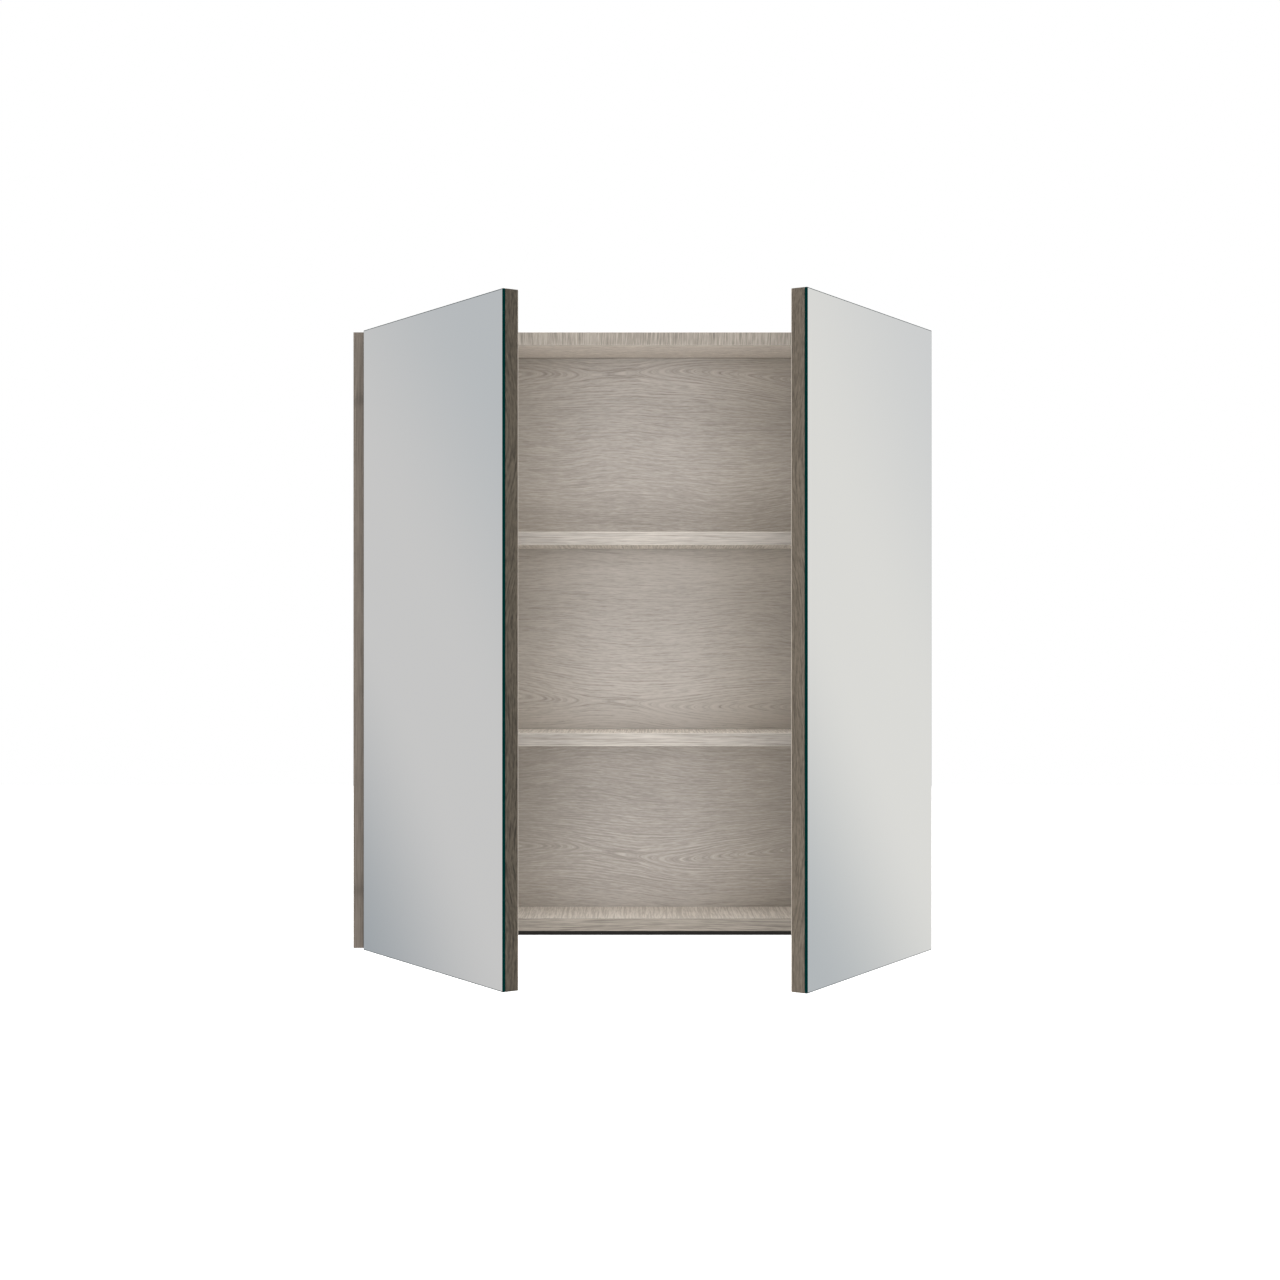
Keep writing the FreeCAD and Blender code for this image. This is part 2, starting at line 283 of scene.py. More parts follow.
print("helpers for pieces ready")

# %% Bands of the box
band_ease = 0.0006
band_nodes = [name for name in nodes if name.endswith("_band") and "door" not in name]
for name in band_nodes:
    low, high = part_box(name)
    strip = slab(low, high)
    ease(strip, edges_at(strip, low.y), band_ease)
    new_piece(name + "_eased", strip, "carcass", name)
print("eased bands:", len(band_nodes))

# %% [markdown]
# ## Door bands
# A door's band runs round all four edges, so it is a thin ring as deep as the board. It is easiest to
# build for the closed door, square to the axes, and to swing open afterwards: turning the CAD ring
# back about its hinge pin gives the closed size. The inner corners of a door are handled most, so they
# are eased more than those next to the glass.

# %% Turning the doors shut
door_turns = {"left": open_angle["left_door"], "right": -open_angle["right_door"]}
closing = {}
for side, turn in door_turns.items():
    low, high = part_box(side + "_upper_hinge_pin")
    pin = (low + high) / 2
    closing[side] = Matrix.Translation(pin) @ Matrix.Rotation(turn, 4, "Z") @ Matrix.Translation(-pin)


def closed_box(side, node):
    """The lowest and highest corner that a door's node has when the door is shut."""
    points = [closing[side] @ vert.co for vert in nodes[node].data.vertices]
    low = Vector([min(point[axis] for point in points) for axis in range(3)])
    high = Vector([max(point[axis] for point in points) for axis in range(3)])
    return low, high


for side in door_turns:
    low, high = closed_box(side, side + "_door_band")
    print(side, "door when shut:", [round(length, 4) for length in high - low])

# %% Bands of the doors
door_band = 0.001
back_ease, front_ease = 0.0009, 0.0003


def on_rim(place, low, high):
    """Whether a point lies on the outside of a door."""
    gaps = [abs(place.x - low.x), abs(place.x - high.x), abs(place.z - low.z), abs(place.z - high.z)]
    return min(gaps) < touching


def flat_ring(low, high):
    """A flat frame of four faces at the back of a door, as wide as the band is thick."""
    ring = bmesh.new()
    loops = []
    for inset in (0.0, door_band):
        left, right = low.x + inset, high.x - inset
        bottom, top = low.z + inset, high.z - inset
        corners = [(left, bottom), (right, bottom), (right, top), (left, top)]
        loops.append([ring.verts.new((x, high.y, z)) for x, z in corners])
    outer, inner = loops
    for here in range(4):
        there = (here + 1) % 4
        ring.faces.new((outer[here], outer[there], inner[there], inner[here]))
    return ring


def door_ring(side):
    """The band round a door, eased along its outer edges, in the open place."""
    low, high = closed_box(side, side + "_door_band")
    ring = flat_ring(low, high)
    moved = bmesh.ops.extrude_face_region(ring, geom=list(ring.faces), use_keep_orig=True)
    front = [item for item in moved["geom"] if isinstance(item, bmesh.types.BMVert)]
    bmesh.ops.translate(ring, verts=front, vec=(0.0, low.y - high.y, 0.0))
    bmesh.ops.recalc_face_normals(ring, faces=ring.faces)
    # The back edges of a door band get a painted highlight, the front edges none.
    for depth, amount, edge_highlight_share in ((high.y, back_ease, 1.0), (low.y, front_ease, 0.0)):
        rim = [edge for edge in edges_at(ring, depth)
               if all(on_rim(vert.co, low, high) for vert in edge.verts)]
        ease(ring, rim, amount, edge_highlight_share)
    bmesh.ops.transform(ring, matrix=closing[side].inverted(), verts=ring.verts)
    return ring


for side in door_turns:
    name = side + "_door_band"
    ring_piece = new_piece(name + "_eased", door_ring(side), side + "_door", name)
    print(ring_piece.name, "faces:", len(ring_piece.data.polygons))

# %% [markdown]
# ## Growth lines
# The boards are faced with a printed oak laminate. Flat-sawn oak shows its yearly growth as lines that
# run along the board and close into pointed arches over the heart of the trunk. They could be drawn one
# by one, but a formula stays sharp at any distance: a growth line joins points at the same distance from
# a heart line, and next to the heart that distance is shortened by an amount that swells and fades along
# the board, which bends the lines into arches. A slow noise sways them all.

# %% Growth lines
grain_axes = {"across_x": "XZY", "across_y": "YXZ", "upright": "ZXY"}
straight = (5.0,)
heart_spacing = 0.13
heart_radius = 0.004
sway_pace = {"along": 4.0, "across": 6.0, "through": 4.0}
arch_length, arch_start = 0.36, 0.03
arch_size, arch_narrow = 0.17, -22.0
seed_slide = 0.1
through_slope = 0.6


def heart_distance(flow, across, seed, hearts):
    """How far a point is from the nearest heart line, never quite zero."""
    if hearts:
        distance = abs(across - hearts[0])
        for heart in hearts[1:]:
            distance = flow.maths("MINIMUM", distance, abs(across - heart))
    else:
        distance = flow.maths("PINGPONG", across + seed, heart_spacing)
    return flow.maths("POWER", distance * distance + heart_radius ** 2, 0.5)


def growth_lines(flow, along, across, through, seed, bend, hearts):
    """A value that stays the same along each growth line, and the distance to the nearest heart line."""
    point = join(flow, along * sway_pace["along"], across * sway_pace["across"],
                 through * sway_pace["through"] + seed)
    sway = soft_noise(flow, point, 1.0, 1.0) - 0.5
    distance = heart_distance(flow, across + sway * bend, seed, hearts)
    swell = flow.maths("PINGPONG", along + seed * seed_slide, arch_length) - arch_start
    arch = flow.maths("MAXIMUM", swell, 0.0) * arch_size * flow.maths("EXPONENT", distance * arch_narrow)
    return distance - arch + through * through_slope, distance


print("an arch repeats every", 2 * arch_length, "m")

# %% [markdown]
# ## The print of the oak
# On top of the growth lines lie a haze of fibres, longer dashes, fine dark pores, some long dark streaks
# and slow clouds of tone. Each is the same soft noise, stretched by its own amount along the grain. A
# table of sizes says how many features each has in a metre, and a second one how strongly it shows.

# %% Layers of the print
grain_layers = {  # features in a metre along and across the grain, detail, roughness, step of the seed
    "wander": (12.0, 70.0, 2.0, 0.5, 0.0),
    "broken": (15.0, 110.0, 2.0, 0.5, 5.0),
    "dash": (62.0, 800.0, 2.0, 0.6, 0.0),
    "fibre": (170.0, 1250.0, 2.0, 0.5, 0.0),
    "pore": (80.0, 1900.0, 1.0, 0.5, 3.0),
    "streak": (22.0, 1000.0, 1.0, 0.5, 8.0),
    "cloud": (2.5, 7.0, 2.0, 0.5, 0.0),
}
layer_weights = {"rings": 0.44, "dash": 1.1, "fibre": 0.95, "cloud": 0.5, "pore": -0.14, "streak": -0.28}
print_middle = 0.55
ring_pace, ring_wander = 1650.0, 15.0
ring_floor = 0.15
ring_reach = (0.02, 0.07)
broken_range, pore_range, streak_range = (0.38, 0.62), (0.64, 0.74), (0.55, 0.66)


def print_layers(flow, run, line, across, distance, seed):
    """The layers of the print, by name: some swing about 0, some run from 0 to 1."""
    noise = {}
    for layer, (lengthways, crossways, detail, roughness, shift) in grain_layers.items():
        side = across if layer == "cloud" else line
        point = join(flow, run * lengthways, side * crossways, seed + shift)
        noise[layer] = soft_noise(flow, point, 1.0, detail, roughness)
    layers = {layer: noise[layer] - 0.5 for layer in ("dash", "fibre", "cloud")}
    layers["pore"] = noise["pore"].step(*pore_range)
    layers["streak"] = noise["streak"].step(*streak_range)
    near = ring_floor + (1.0 - ring_floor) * (1.0 - distance.step(*ring_reach))
    rings = (line * ring_pace + (noise["wander"] - 0.5) * ring_wander).wave() - 0.5
    layers["rings"] = rings * (noise["broken"].step(*broken_range) * near)
    return layers


def print_shade(layers, figure):
    """All layers added up to one shade, dark at 0 and light at 1."""
    shade = layers["rings"] * (layer_weights["rings"] * figure) + print_middle
    for layer in ("dash", "fibre", "cloud", "pore", "streak"):
        shade = shade + layers[layer] * layer_weights[layer]
    return shade


print("layers of the print:", len(grain_layers))

# %% [markdown]
# ## Painted light and shade in the bays
# The back board is printed in one oak, and painted light and shade lie over it. Its middle bay is painted
# lighter than the lower one, the upper bay goes from painted shade to painted light, the foot of the lower
# and middle bays gets painted light, and the sides get painted shade, darker and warmer. Two tones for
# each bay on a colour ramp are enough, with soft steps for the feet and the sides. The top board's
# underside gets painted shade that grows darker toward the back in the same way.

# %% Painted light and shade in the bays
back_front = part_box("back_panel")[0].y
box_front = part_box("top_panel_band")[0].y
# Painted light and shade by height on the back board: each stop is a height and a lighter or darker step.
painted_bay_tones = [(-0.30, -0.35), (-0.15, -0.30), (-0.10, 0.27), (0.10, 0.27), (0.16, -0.50), (0.30, 0.20)]
bay_feet = [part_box(board)[1].z for board in ("bottom_panel", "lower_shelf")]
ramp_low, ramp_span = -0.4, 0.8
# Painted light at the feet of the bays and painted shade toward the sides.
painted_bay_weight, painted_foot_light, painted_side_shade = 0.5, 0.26, -0.08
foot_start, foot_end = (-0.008, -0.004), (0.004, 0.04)
painted_side_warmth = (1.0, 0.985, 0.95)
side_reach = (0.04, 0.17)
skin_start, skin_end = back_front + 0.0003, back_front + 0.0009


def inside_box(part):
    """1 up to the front face of the back board, 0 behind it."""
    return 1.0 - part["Y"].step(skin_start, skin_end)


def side_shade_mask(part):
    """0 in the middle of the box, 1 toward its two sides, where shade is painted."""
    return abs(part["X"]).step(*side_reach)


def painted_bay_shade(flow, part):
    """Painted light and shade of the bays, added to the shade of the back board's print."""
    stops = [((height - ramp_low) / ramp_span, (0.5 + amount,) * 3) for height, amount in painted_bay_tones]
    height = (part["Z"] - ramp_low) * (1.0 / ramp_span)
    slow = flow.node("ShaderNodeValToRGB", {"stops": stops}, {"Fac": height}) - 0.5
    added = slow * painted_bay_weight + side_shade_mask(part) * painted_side_shade
    for foot in bay_feet:
        above = part["Z"] - foot
        added = added + above.step(*foot_start) * (1.0 - above.step(*foot_end)) * painted_foot_light
    return added * inside_box(part)


def painted_depth_shade(part, painted_depth_fade):
    """Painted shade by depth, added to the shade: light at the front, dark at the back."""
    depth = (part["Y"] - box_front) * (1.0 / (back_front - box_front))
    return (0.5 - depth) * painted_depth_fade


print("depth of the bays:", round(back_front - box_front, 4), "m")

# %% [markdown]
# ## Painted shadows, highlights and shade
# A few marks lie over the print: short dark painted shadows of the hinges on the side bands, a pale
# painted highlight on the eased edges, painted shade in the joint below the top, and nearly black painted
# shade in the recess under the bottom board. They could be thin pieces of their own, but most are under a
# millimetre wide. Each is a colour laid over the oak where a narrow step says so. The boards inside the box
# are painted lighter, as painted light, so the faces outside the box get one plain tone again.

# %% Marks over the print
outer_tone = linear(162, 153, 142)
# Nearly black painted shade for the recess under the bottom board.
recess_shade_tone = (0.012, 0.010, 0.008)
lip_soft = 0.0004
# Painted shadows of the hinges on the side bands: width, raggedness, cover and darkness.
hinge_shadow_width, hinge_shadow_ragged, hinge_shadow_cover, hinge_shadow_dark = (0.001, 0.012), 0.03, 0.45, 0.5
# Painted shadow in the joint below the top.
joint_shadow_width, joint_shadow_cover, joint_shadow_dark = (0.0004, 0.0018), 0.4, 0.25
skin_depth = (0.0003, 0.0012)
lip_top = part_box("bottom_panel")[0].z
top_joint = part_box("top_panel")[0].z


def beside(value, middle, near, far):
    """1 close to a value, 0 away from it."""
    return 1.0 - abs(value - middle).step(near, far)


def add_hinge_shadows(flow, colour, part, dash, tone, hinge_shadows):
    """Painted shadows of the hinges at some heights, with ragged edges."""
    for shadow_height in hinge_shadows:
        spot = beside(part["Z"] + dash * hinge_shadow_ragged, shadow_height, *hinge_shadow_width)
        colour = blend(flow, spot * hinge_shadow_cover, colour, scaled(tone, hinge_shadow_dark))
    return colour


def add_painted_shade_lines(flow, colour, part, tone, lip):
    """A soft painted shadow at the joint below the top, and nearly black painted shade below a height."""
    inside = inside_box(part)
    joint_shadow_mask = beside(part["Z"], top_joint, *joint_shadow_width)
    colour = blend(flow, joint_shadow_mask * inside * joint_shadow_cover, colour, scaled(tone, joint_shadow_dark))
    below = 1.0 - part["Z"].step(lip - lip_soft, lip)
    return blend(flow, below * inside, colour, recess_shade_tone)


def add_outside(flow, colour, part, tone, outside):
    """The outer tone of the oak, without the painted light, on the face that lies at one height."""
    change = tuple(outer / inner for outer, inner in zip(outer_tone, tone))
    outer = blend(flow, 1.0, colour, change, "MULTIPLY")
    return blend(flow, beside(part["Z"], outside, *skin_depth), colour, outer)


print("lip below", round(lip_top, 4), "m, joint of the top at", round(top_joint, 4), "m")

# %% [markdown]
# ## Grey oak
# One function puts it all together: the direction of the grain, its growth lines, the print and the marks
# over it. The print's shade picks a colour between a dark and a light tone, and its fibres and pores
# also give the fine relief and the uneven gloss of a pressed laminate.

# %% Oak finish
dark_warmth = (1.0, 0.985, 0.965)
# How much and how raggedly the painted highlight covers the eased edges.
edge_highlight_cover, edge_highlight_ragged = 0.85, 0.5
dash_relief, fibre_relief, pore_relief = 0.35, 0.5, 0.6
relief_strength, relief_height = 0.2, 0.0004
oak_rough, fibre_rough, pore_rough = 0.52, 0.2, 0.12
oak_specular = 0.3


def oak(name, tone, direction, turn=0.0, seed=0.0, figure=1.0, contrast=0.32, bend=0.05, length=1.0,
        coarse=1.0, spread=0.65, hearts=(), bays=False, painted_depth_fade=0.0, hinge_shadows=(), edge_highlight=None, lip=None,
        outside=None):
    """Oak laminate of one tone, with its grain running in one direction."""
    material, flow, shader = new_finish(name)
    upright_turn = {"Vector": object_place(flow), "Rotation": (0.0, 0.0, turn)}
    part = split(flow, flow.node("ShaderNodeMapping", None, upright_turn))
    along, across, through = (part[axis] for axis in grain_axes[direction])
    line, distance = growth_lines(flow, along, across, through, seed, bend, hearts)
    layers = print_layers(flow, along * (1.0 / length), line * (1.0 / coarse), across, distance, seed)
    dash, fibre, pore = layers["dash"], layers["fibre"], layers["pore"]
    shade = print_shade(layers, figure)
    if bays:
        shade = shade + painted_bay_shade(flow, part)
    # Painted shade that grows darker toward the back of the box.
    if painted_depth_fade:
        shade = shade + painted_depth_shade(part, painted_depth_fade)
    dark = tuple(value * (1.0 - contrast) * warm for value, warm in zip(tone, dark_warmth))
    light = tuple(min(value * (1.0 + contrast), 1.0) for value in tone)
    colour = blend(flow, shade.step(0.5 - spread, 0.5 + spread), dark, light)
    if bays:
        # Painted shade toward the sides of the box, darker and warmer.
        colour = blend(flow, side_shade_mask(part) * inside_box(part), colour, painted_side_warmth, "MULTIPLY")
    colour = add_hinge_shadows(flow, colour, part, dash, tone, hinge_shadows)
    # A painted highlight on the eased edges.
    if edge_highlight is not None:
        colour = blend(flow, painted(flow, "arris") * (edge_highlight_cover + dash * edge_highlight_ragged), colour, edge_highlight)
    if lip is not None:
        colour = add_painted_shade_lines(flow, colour, part, tone, lip)
    if outside is not None:
        colour = add_outside(flow, colour, part, tone, outside)
    height = dash * dash_relief + fibre * fibre_relief - pore * pore_relief
    relief = bump(flow, height, relief_strength, relief_height)
    rough = oak_rough + fibre * fibre_rough + pore * pore_rough
    feed(shader, {"Base Color": colour, "Roughness": rough, "Normal": relief,
                  "Specular IOR Level": oak_specular})
    return material


print("oak ready, in the directions", list(grain_axes))

# %% Boards of the box
# The shelves and the inner faces of the top and bottom boards get paler tones than the outer tone, as painted
# light; the top's underside also gets painted shade toward the back.
board_oak = {
    # The back board gets painted shade in the joint below the top and in the recess under the bottom board.
    "back_panel": oak("back_oak", linear(167, 161, 155), "across_x", seed=0.35, contrast=0.29, length=1.3,
                      coarse=0.9, hearts=(0.333, -0.076, -0.271), bays=True, lip=lip_top),
    "shelf": oak("shelf_oak", linear(220, 213, 203), "across_y", seed=1.7, contrast=0.24, spread=0.34,
                 bend=0.008, length=4.0, coarse=1.4, hearts=straight),
    "top_panel": oak("top_oak", linear(228, 220, 211), "across_x", seed=2.9, contrast=0.26, spread=0.45,
                     hearts=straight, painted_depth_fade=0.28, outside=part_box("top_panel")[1].z),
    "bottom_panel": oak("bottom_oak", linear(225, 218, 209), "across_y", seed=2.3, contrast=0.16, spread=0.24,
                        bend=0.008, length=4.0, coarse=1.9, hearts=straight, outside=lip_top),
    "side": oak("side_oak", linear(160, 150, 138), "upright", seed=3.1),
}
for name in ("back_panel", "top_panel", "bottom_panel"):
    wear([name], board_oak[name])
wear(["upper_shelf", "lower_shelf"], board_oak["shelf"])
wear(["left_side", "right_side"], board_oak["side"])
print("board finishes:", len(board_oak))

# %% Finish of the bands
# The bottom band's lowest 1.2 mm get the same painted shade.
band_shade_line = 0.0012
# The last tone of each band is a painted highlight for its eased edges.
band_oak = {
    "shelf": oak("shelf_band_oak", linear(170, 164, 157), "across_x", seed=4.4, contrast=0.36, bend=0.01,
                 length=3.0, hearts=straight, edge_highlight=linear(212, 205, 196)),
    "top": oak("top_band_oak", linear(147, 140, 131), "upright", seed=5.2, contrast=0.5, bend=0.02,
               length=2.0, coarse=1.3, hearts=straight, edge_highlight=linear(188, 180, 170)),
    "bottom": oak("bottom_band_oak", linear(135, 128, 119), "across_x", seed=6.6, contrast=0.45, bend=0.01,
                  length=3.0, hearts=straight, lip=lip_top + band_shade_line, edge_highlight=linear(160, 152, 142)),
    # The side bands carry painted shadows of the hinges at two heights.
    "side": oak("side_band_oak", linear(100, 92, 84), "upright", seed=7.1, contrast=0.4, bend=0.01,
                length=4.0, hearts=straight, hinge_shadows=(0.293, -0.305), edge_highlight=linear(114, 106, 97)),
}
for name in band_nodes:
    kind = next(kind for kind in band_oak if kind in name)
    wear([name, name + "_eased"], band_oak[kind])
print("band finishes:", len(band_oak))

# %% [markdown]
# ## Door boards
# Each door is a board of the same oak, with its grain upright and a band round its edges, darker as
# painted shade, more on the left door than on the right. The doors stand open, so the grain is turned
# with them: a Mapping node turns the pattern by the door's angle and the print runs straight up the board.

# %% Door boards and bands
door_tone = linear(169, 160, 148)
# A painted highlight for the eased edges of the door bands.
door_edge_highlight = linear(196, 187, 176)
# Darker tones as painted shade, the left band more than the right.
door_band_shades = {"left": (linear(67, 61, 52), 0.7), "right": (linear(90, 82, 72), 0.5)}
for side, turn in door_turns.items():
    wear([side + "_door_board"], oak(side + "_door_oak", door_tone, "upright", turn, seed=8.0 + turn))
    tone, contrast = door_band_shades[side]
    finish = oak(side + "_band_oak", tone, "upright", turn, seed=9.0, figure=0.4, contrast=contrast,
                 edge_highlight=door_edge_highlight)
    wear([side + "_door_band", side + "_door_band_eased"], finish)
print("doors dressed:", len(door_band_shades))

# %% [markdown]
# ## Mirrors
# A mirror is a sheet of clear glass with silver on its back. Seen from the front it is a clean metal
# reflector, and at its ground and cut edges the green of the glass shows as a thin dark line. It could
# be a real slab of glass over metal, but that needs many light bounces for so thin a line. Here the pane
# is a bevelled sheet, and an attribute on its faces says which one is silvered. The silver stops just
# short of the bevel, where grinding takes it off.

# %% Silvered glass
silver_tone = (0.87, 0.885, 0.88)
glass_greens = (linear(0, 24, 23), linear(0, 42, 40))
glass_rough, silver_rough, haze_rough = 0.30, 0.015, 0.006
haze_pace, ripple_pace = 6.0, 900.0


def silvered_glass():
    """Silver and green glass edge in one finish, told apart by the pane's attribute."""
    material, flow, shader = new_finish("silvered_glass")
    silver = painted(flow, "silver")
    place = object_place(flow)
    haze = soft_noise(flow, place, haze_pace, 3.0)
    ripple = soft_noise(flow, place, ripple_pace, 1.0)
    colour = blend(flow, silver, blend(flow, ripple, *glass_greens), silver_tone)
    rough = glass_rough - silver * (glass_rough - silver_rough) + haze * haze_rough
    feed(shader, {"Base Color": colour, "Metallic": silver, "Roughness": rough, "Specular IOR Level": 0.0})
    return material


pane_finish = silvered_glass()
print("mirror finish:", pane_finish.name)

# %% Mirror panes
glass_ease = 0.0006
bare_rim = 0.0003


def mirror_pane(side):
    """A door's mirror with ground front edges and a silvered face, in the open place."""
    low, high = closed_box(side, side + "_mirror")
    pane = slab(low, high)
    ease(pane, edges_at(pane, low.y), glass_ease, edge_highlight_share=0.0)
    silver = pane.faces.layers.float.new("silver")
    front_face = min(pane.faces, key=lambda face: face.calc_center_median().y)
    bmesh.ops.inset_region(pane, faces=[front_face], thickness=bare_rim, use_even_offset=True)
    front_face[silver] = 1.0
    bmesh.ops.transform(pane, matrix=closing[side].inverted(), verts=pane.verts)
    return pane


for side in door_turns:
    name = side + "_mirror"
    pane_piece = new_piece(name + "_pane", mirror_pane(side), side + "_door", name)
    wear([name, pane_piece.name], pane_finish)
    print(pane_piece.name, "faces:", len(pane_piece.data.polygons))

# %% [markdown]
# ## Steel, plastic and rubber
# Hinges are nickel-plated pressings and the screws are zinc plated, both a little uneven, so their
# roughness wanders. Caps are moulded in the tone of the wood, the bumpers are soft clear silicone and
# the mirror tape is white foam. Two recipes, one for plate and one for moulded skins, cover them all.

# %% Recipes for hardware
plate_pace, plate_dull, plate_cloud = 260.0, 0.78, 0.14
scratch_pace, scratch_strength = (90.0, 90.0, 2600.0), 0.08
skin_dark, skin_strength, skin_rough = 0.86, 0.15, 0.1
skin_height = 0.0002


def plated(name, colour, rough):
    """Plated steel with a faint cloudiness and fine scratches."""
    material, flow, shader = new_finish(name)
    place = object_place(flow)
    cloud = soft_noise(flow, place, plate_pace, 3.0)
    stretched = flow.node("ShaderNodeVectorMath", {"operation": "MULTIPLY"}, {0: place, 1: scratch_pace})
    relief = bump(flow, soft_noise(flow, stretched, 1.0), scratch_strength, skin_height)
    tone = blend(flow, cloud, scaled(colour, plate_dull), colour)
    feed(shader, {"Base Color": tone, "Metallic": 1.0, "Normal": relief,
                  "Roughness": rough + cloud * plate_cloud})
    return material


def moulded(name, colour, rough, grain):
    """Moulded plastic, rubber, foam or turned wood with a fine skin."""
    material, flow, shader = new_finish(name)
    skin = soft_noise(flow, object_place(flow), grain, 2.0)
    tone = blend(flow, skin, scaled(colour, skin_dark), colour)
    relief = bump(flow, skin, skin_strength, skin_height)
    feed(shader, {"Base Color": tone, "Normal": relief, "Roughness": rough + skin * skin_rough})
    return material


print("recipes for hardware ready")

# %% Hardware
hinge_pieces = [name for name in nodes if "hinge" in name and "screws" not in name]
screw_pieces = [name for name in nodes if name.endswith("screws")]
wear(hinge_pieces, plated("nickel_plate", (0.66, 0.65, 0.62), 0.24))
wear(screw_pieces + ["upper_shelf_pins", "lower_shelf_pins"], plated("zinc_plate", (0.60, 0.61, 0.61), 0.30))
wear(["screw_caps"], moulded("cap_plastic", linear(142, 132, 120), 0.5, 900.0))
wear(["assembly_dowels"], moulded("beech_wood", linear(205, 176, 138), 0.7, 400.0))
for side in door_turns:
    wear([side + "_door_bumpers"], moulded("silicone_" + side, linear(226, 228, 226), 0.25, 700.0))
    wear([side + "_mirror_tape"], moulded("foam_tape_" + side, linear(232, 231, 226), 0.8, 1500.0))
print("hardware dressed:", len(hinge_pieces), "hinge pieces,", len(screw_pieces), "screw groups")

# %% [markdown]
# ## Studio
# The cabinet hangs before plain white, and its mirrors show the soft greys of a studio. Real walls could
# stand round it, but they would also block the light. Instead the world answers each kind of ray: white
# to the camera, an even grey for soft light, and for reflections a wall, a paler panel and a corner on
# each side, with soft changes between them.

# %% World
world = bpy.data.worlds.new("studio")
scene.world = world
world.use_nodes = True
sky = Flow(world.node_tree)
background = world.node_tree.nodes["Background"]
way = split(sky, sky.node("ShaderNodeTexCoord", output="Generated"))
is_camera = sky.node("ShaderNodeLightPath", output="Is Camera Ray")
is_glossy = sky.node("ShaderNodeLightPath", output="Is Glossy Ray")
left_slope, right_slope = -0.4, 0.325
side_change, height_change = (-0.3, 0.3), (-0.5, 0.6)
front_change, front_share = (0.0, 0.3), 0.7
silver_gain = (1.14, 1.12, 1.12)
ambient = (0.40, 0.40, 0.405)
white = (1.0, 1.0, 1.0)


def studio_wall(across, wall, panel, corner, rise, fall):
    """A grey wall, a paler panel beside it and a corner after that."""
    grey = blend(sky, across.step(*rise), wall, panel)
    return blend(sky, across.step(*fall), grey, corner)


left_grey = studio_wall(way["Y"] + way["Z"] * left_slope, linear(182, 186, 189), linear(198, 198, 198),
                        linear(150, 157, 163), (0.382, 0.470), (0.500, 0.580))
right_grey = studio_wall(way["Y"] + way["Z"] * right_slope, linear(178, 183, 186), linear(218, 218, 215),
                         linear(203, 205, 206), (0.472, 0.547), (0.568, 0.640))
studio_grey = blend(sky, way["X"].step(*side_change), left_grey, right_grey)
studio_grey = blend(sky, 1.0, studio_grey, silver_gain, "MULTIPLY")
front_grey = blend(sky, way["Z"].step(*height_change), linear(168, 173, 178), linear(232, 233, 232))
studio_grey = blend(sky, (1.0 - way["Y"].step(*front_change)) * front_share, studio_grey, front_grey)
seen = blend(sky, is_camera, blend(sky, is_glossy, ambient, studio_grey), white)
world.node_tree.links.new(seen.socket, background.inputs["Color"])
print("world nodes:", len(world.node_tree.nodes))

# %% [markdown]
# ## Lamps
# A wide lamp high in front shades the shelves softly, two weaker ones from the front fill the bays, and a
# broad low panel stands for light thrown back by a floor. Area lamps alone would fall off from board to
# board, so the main ones are suns with a wide angle. None of them shows in the mirrors.

# %% Lamps
middle = (0.0, 0.0, 0.0)
suns = {  # place, strength and width in degrees
    "top_key": ((0.1, -0.9, 1.6), 2.25, 60.0),
    "front_fill": ((0.0, -2.0, 0.05), 0.97, 30.0),
    "right_fill": ((0.5, -2.0, 0.1), 0.42, 40.0),
}
bounce_place, bounce_aim = (0.0, -2.6, -0.8), (0.0, -0.06, 0.0)
bounce_strength, bounce_size = 32.0, (2.4, 1.1)


def lamp(name, kind, place, aim, strength):
    """A soft lamp at a place, aimed at a point, kept out of mirrors."""
    data = bpy.data.lights.new(name, kind)
    data.energy = strength
    made = bpy.data.objects.new(name, data)
    made.location = place
    made.rotation_euler = (Vector(aim) - Vector(place)).to_track_quat("-Z", "Y").to_euler()
    made.visible_glossy = False
    scene.collection.objects.link(made)
    return data


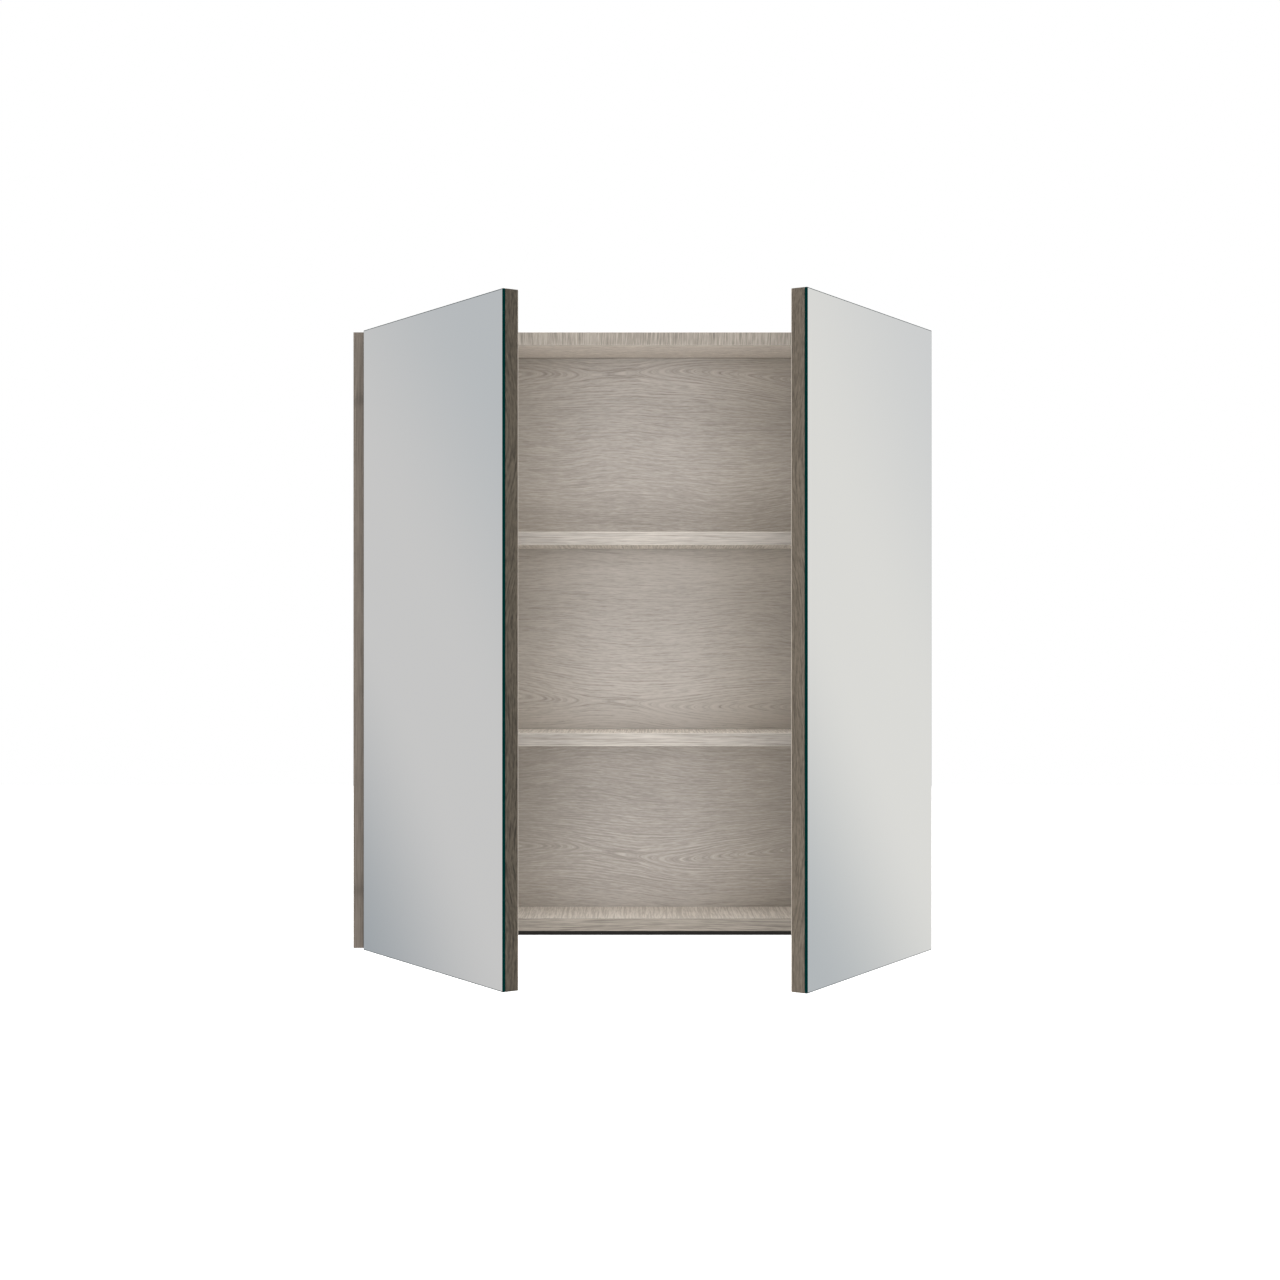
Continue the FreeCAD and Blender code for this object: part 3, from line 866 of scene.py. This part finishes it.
for name, (place, strength, width) in suns.items():
    lamp(name, "SUN", place, middle, strength).angle = radians(width)
low_bounce = lamp("low_bounce", "AREA", bounce_place, bounce_aim, bounce_strength)
low_bounce.shape = "RECTANGLE"
low_bounce.size, low_bounce.size_y = bounce_size
print("lamps:", len(bpy.data.lights))

# %% [markdown]
# ## Floor
# A plain pale floor lies far below the cabinet, because it hangs on a wall. It is a single large face. A
# little glow that only the camera sees lifts it to the white of the background, and it stays out of
# the mirrors.

# %% Floor
floor_drop = 1.25
floor_half = 14.0
floor_grey = (0.85, 0.85, 0.85, 1.0)
floor_glow = (0.55, 0.55, 0.55)
floor_mesh = bmesh.new()
bmesh.ops.create_grid(floor_mesh, x_segments=1, y_segments=1, size=floor_half)
bmesh.ops.translate(floor_mesh, verts=floor_mesh.verts, vec=(0.0, 0.0, -floor_drop))
floor_data = bpy.data.meshes.new("floor")
floor_mesh.to_mesh(floor_data)
floor_mesh.free()
floor = bpy.data.objects.new("floor", floor_data)
scene.collection.objects.link(floor)
floor.visible_glossy = False
floor_material, floor_flow, floor_shader = new_finish("pale_floor")
floor_camera = floor_flow.node("ShaderNodeLightPath", output="Is Camera Ray")
glow = blend(floor_flow, floor_camera, (0.0, 0.0, 0.0), floor_glow)
feed(floor_shader, {"Base Color": floor_grey, "Roughness": 0.9, "Emission Color": glow,
                    "Emission Strength": 1.0})
wear(["floor"], floor_material)
print("floor at", -floor_drop, "m")

# %% [markdown]
# ## Camera
# The photograph looks straight at the cabinet from about two and a third metres, level with its middle.
# The lens length comes from the photograph's frame of 1280 by 1280 pixels.

# %% Camera
frame_pixels = 1280
focal_pixels = 1919.4
sensor_width = 36.0
camera_distance = 2.3373
camera_x, camera_z = -0.0010, 0.0002
camera_data = bpy.data.cameras.new("camera")
camera_data.sensor_width = sensor_width
camera_data.lens = sensor_width * focal_pixels / frame_pixels
camera = bpy.data.objects.new("camera", camera_data)
camera.location = (camera_x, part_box("left_side_band")[0].y - camera_distance, camera_z)
camera.rotation_euler = (pi / 2, 0.0, 0.0)
scene.collection.objects.link(camera)
scene.camera = camera
scene.view_settings.view_transform = "Standard"
print("camera lens:", round(camera_data.lens, 2), "mm")
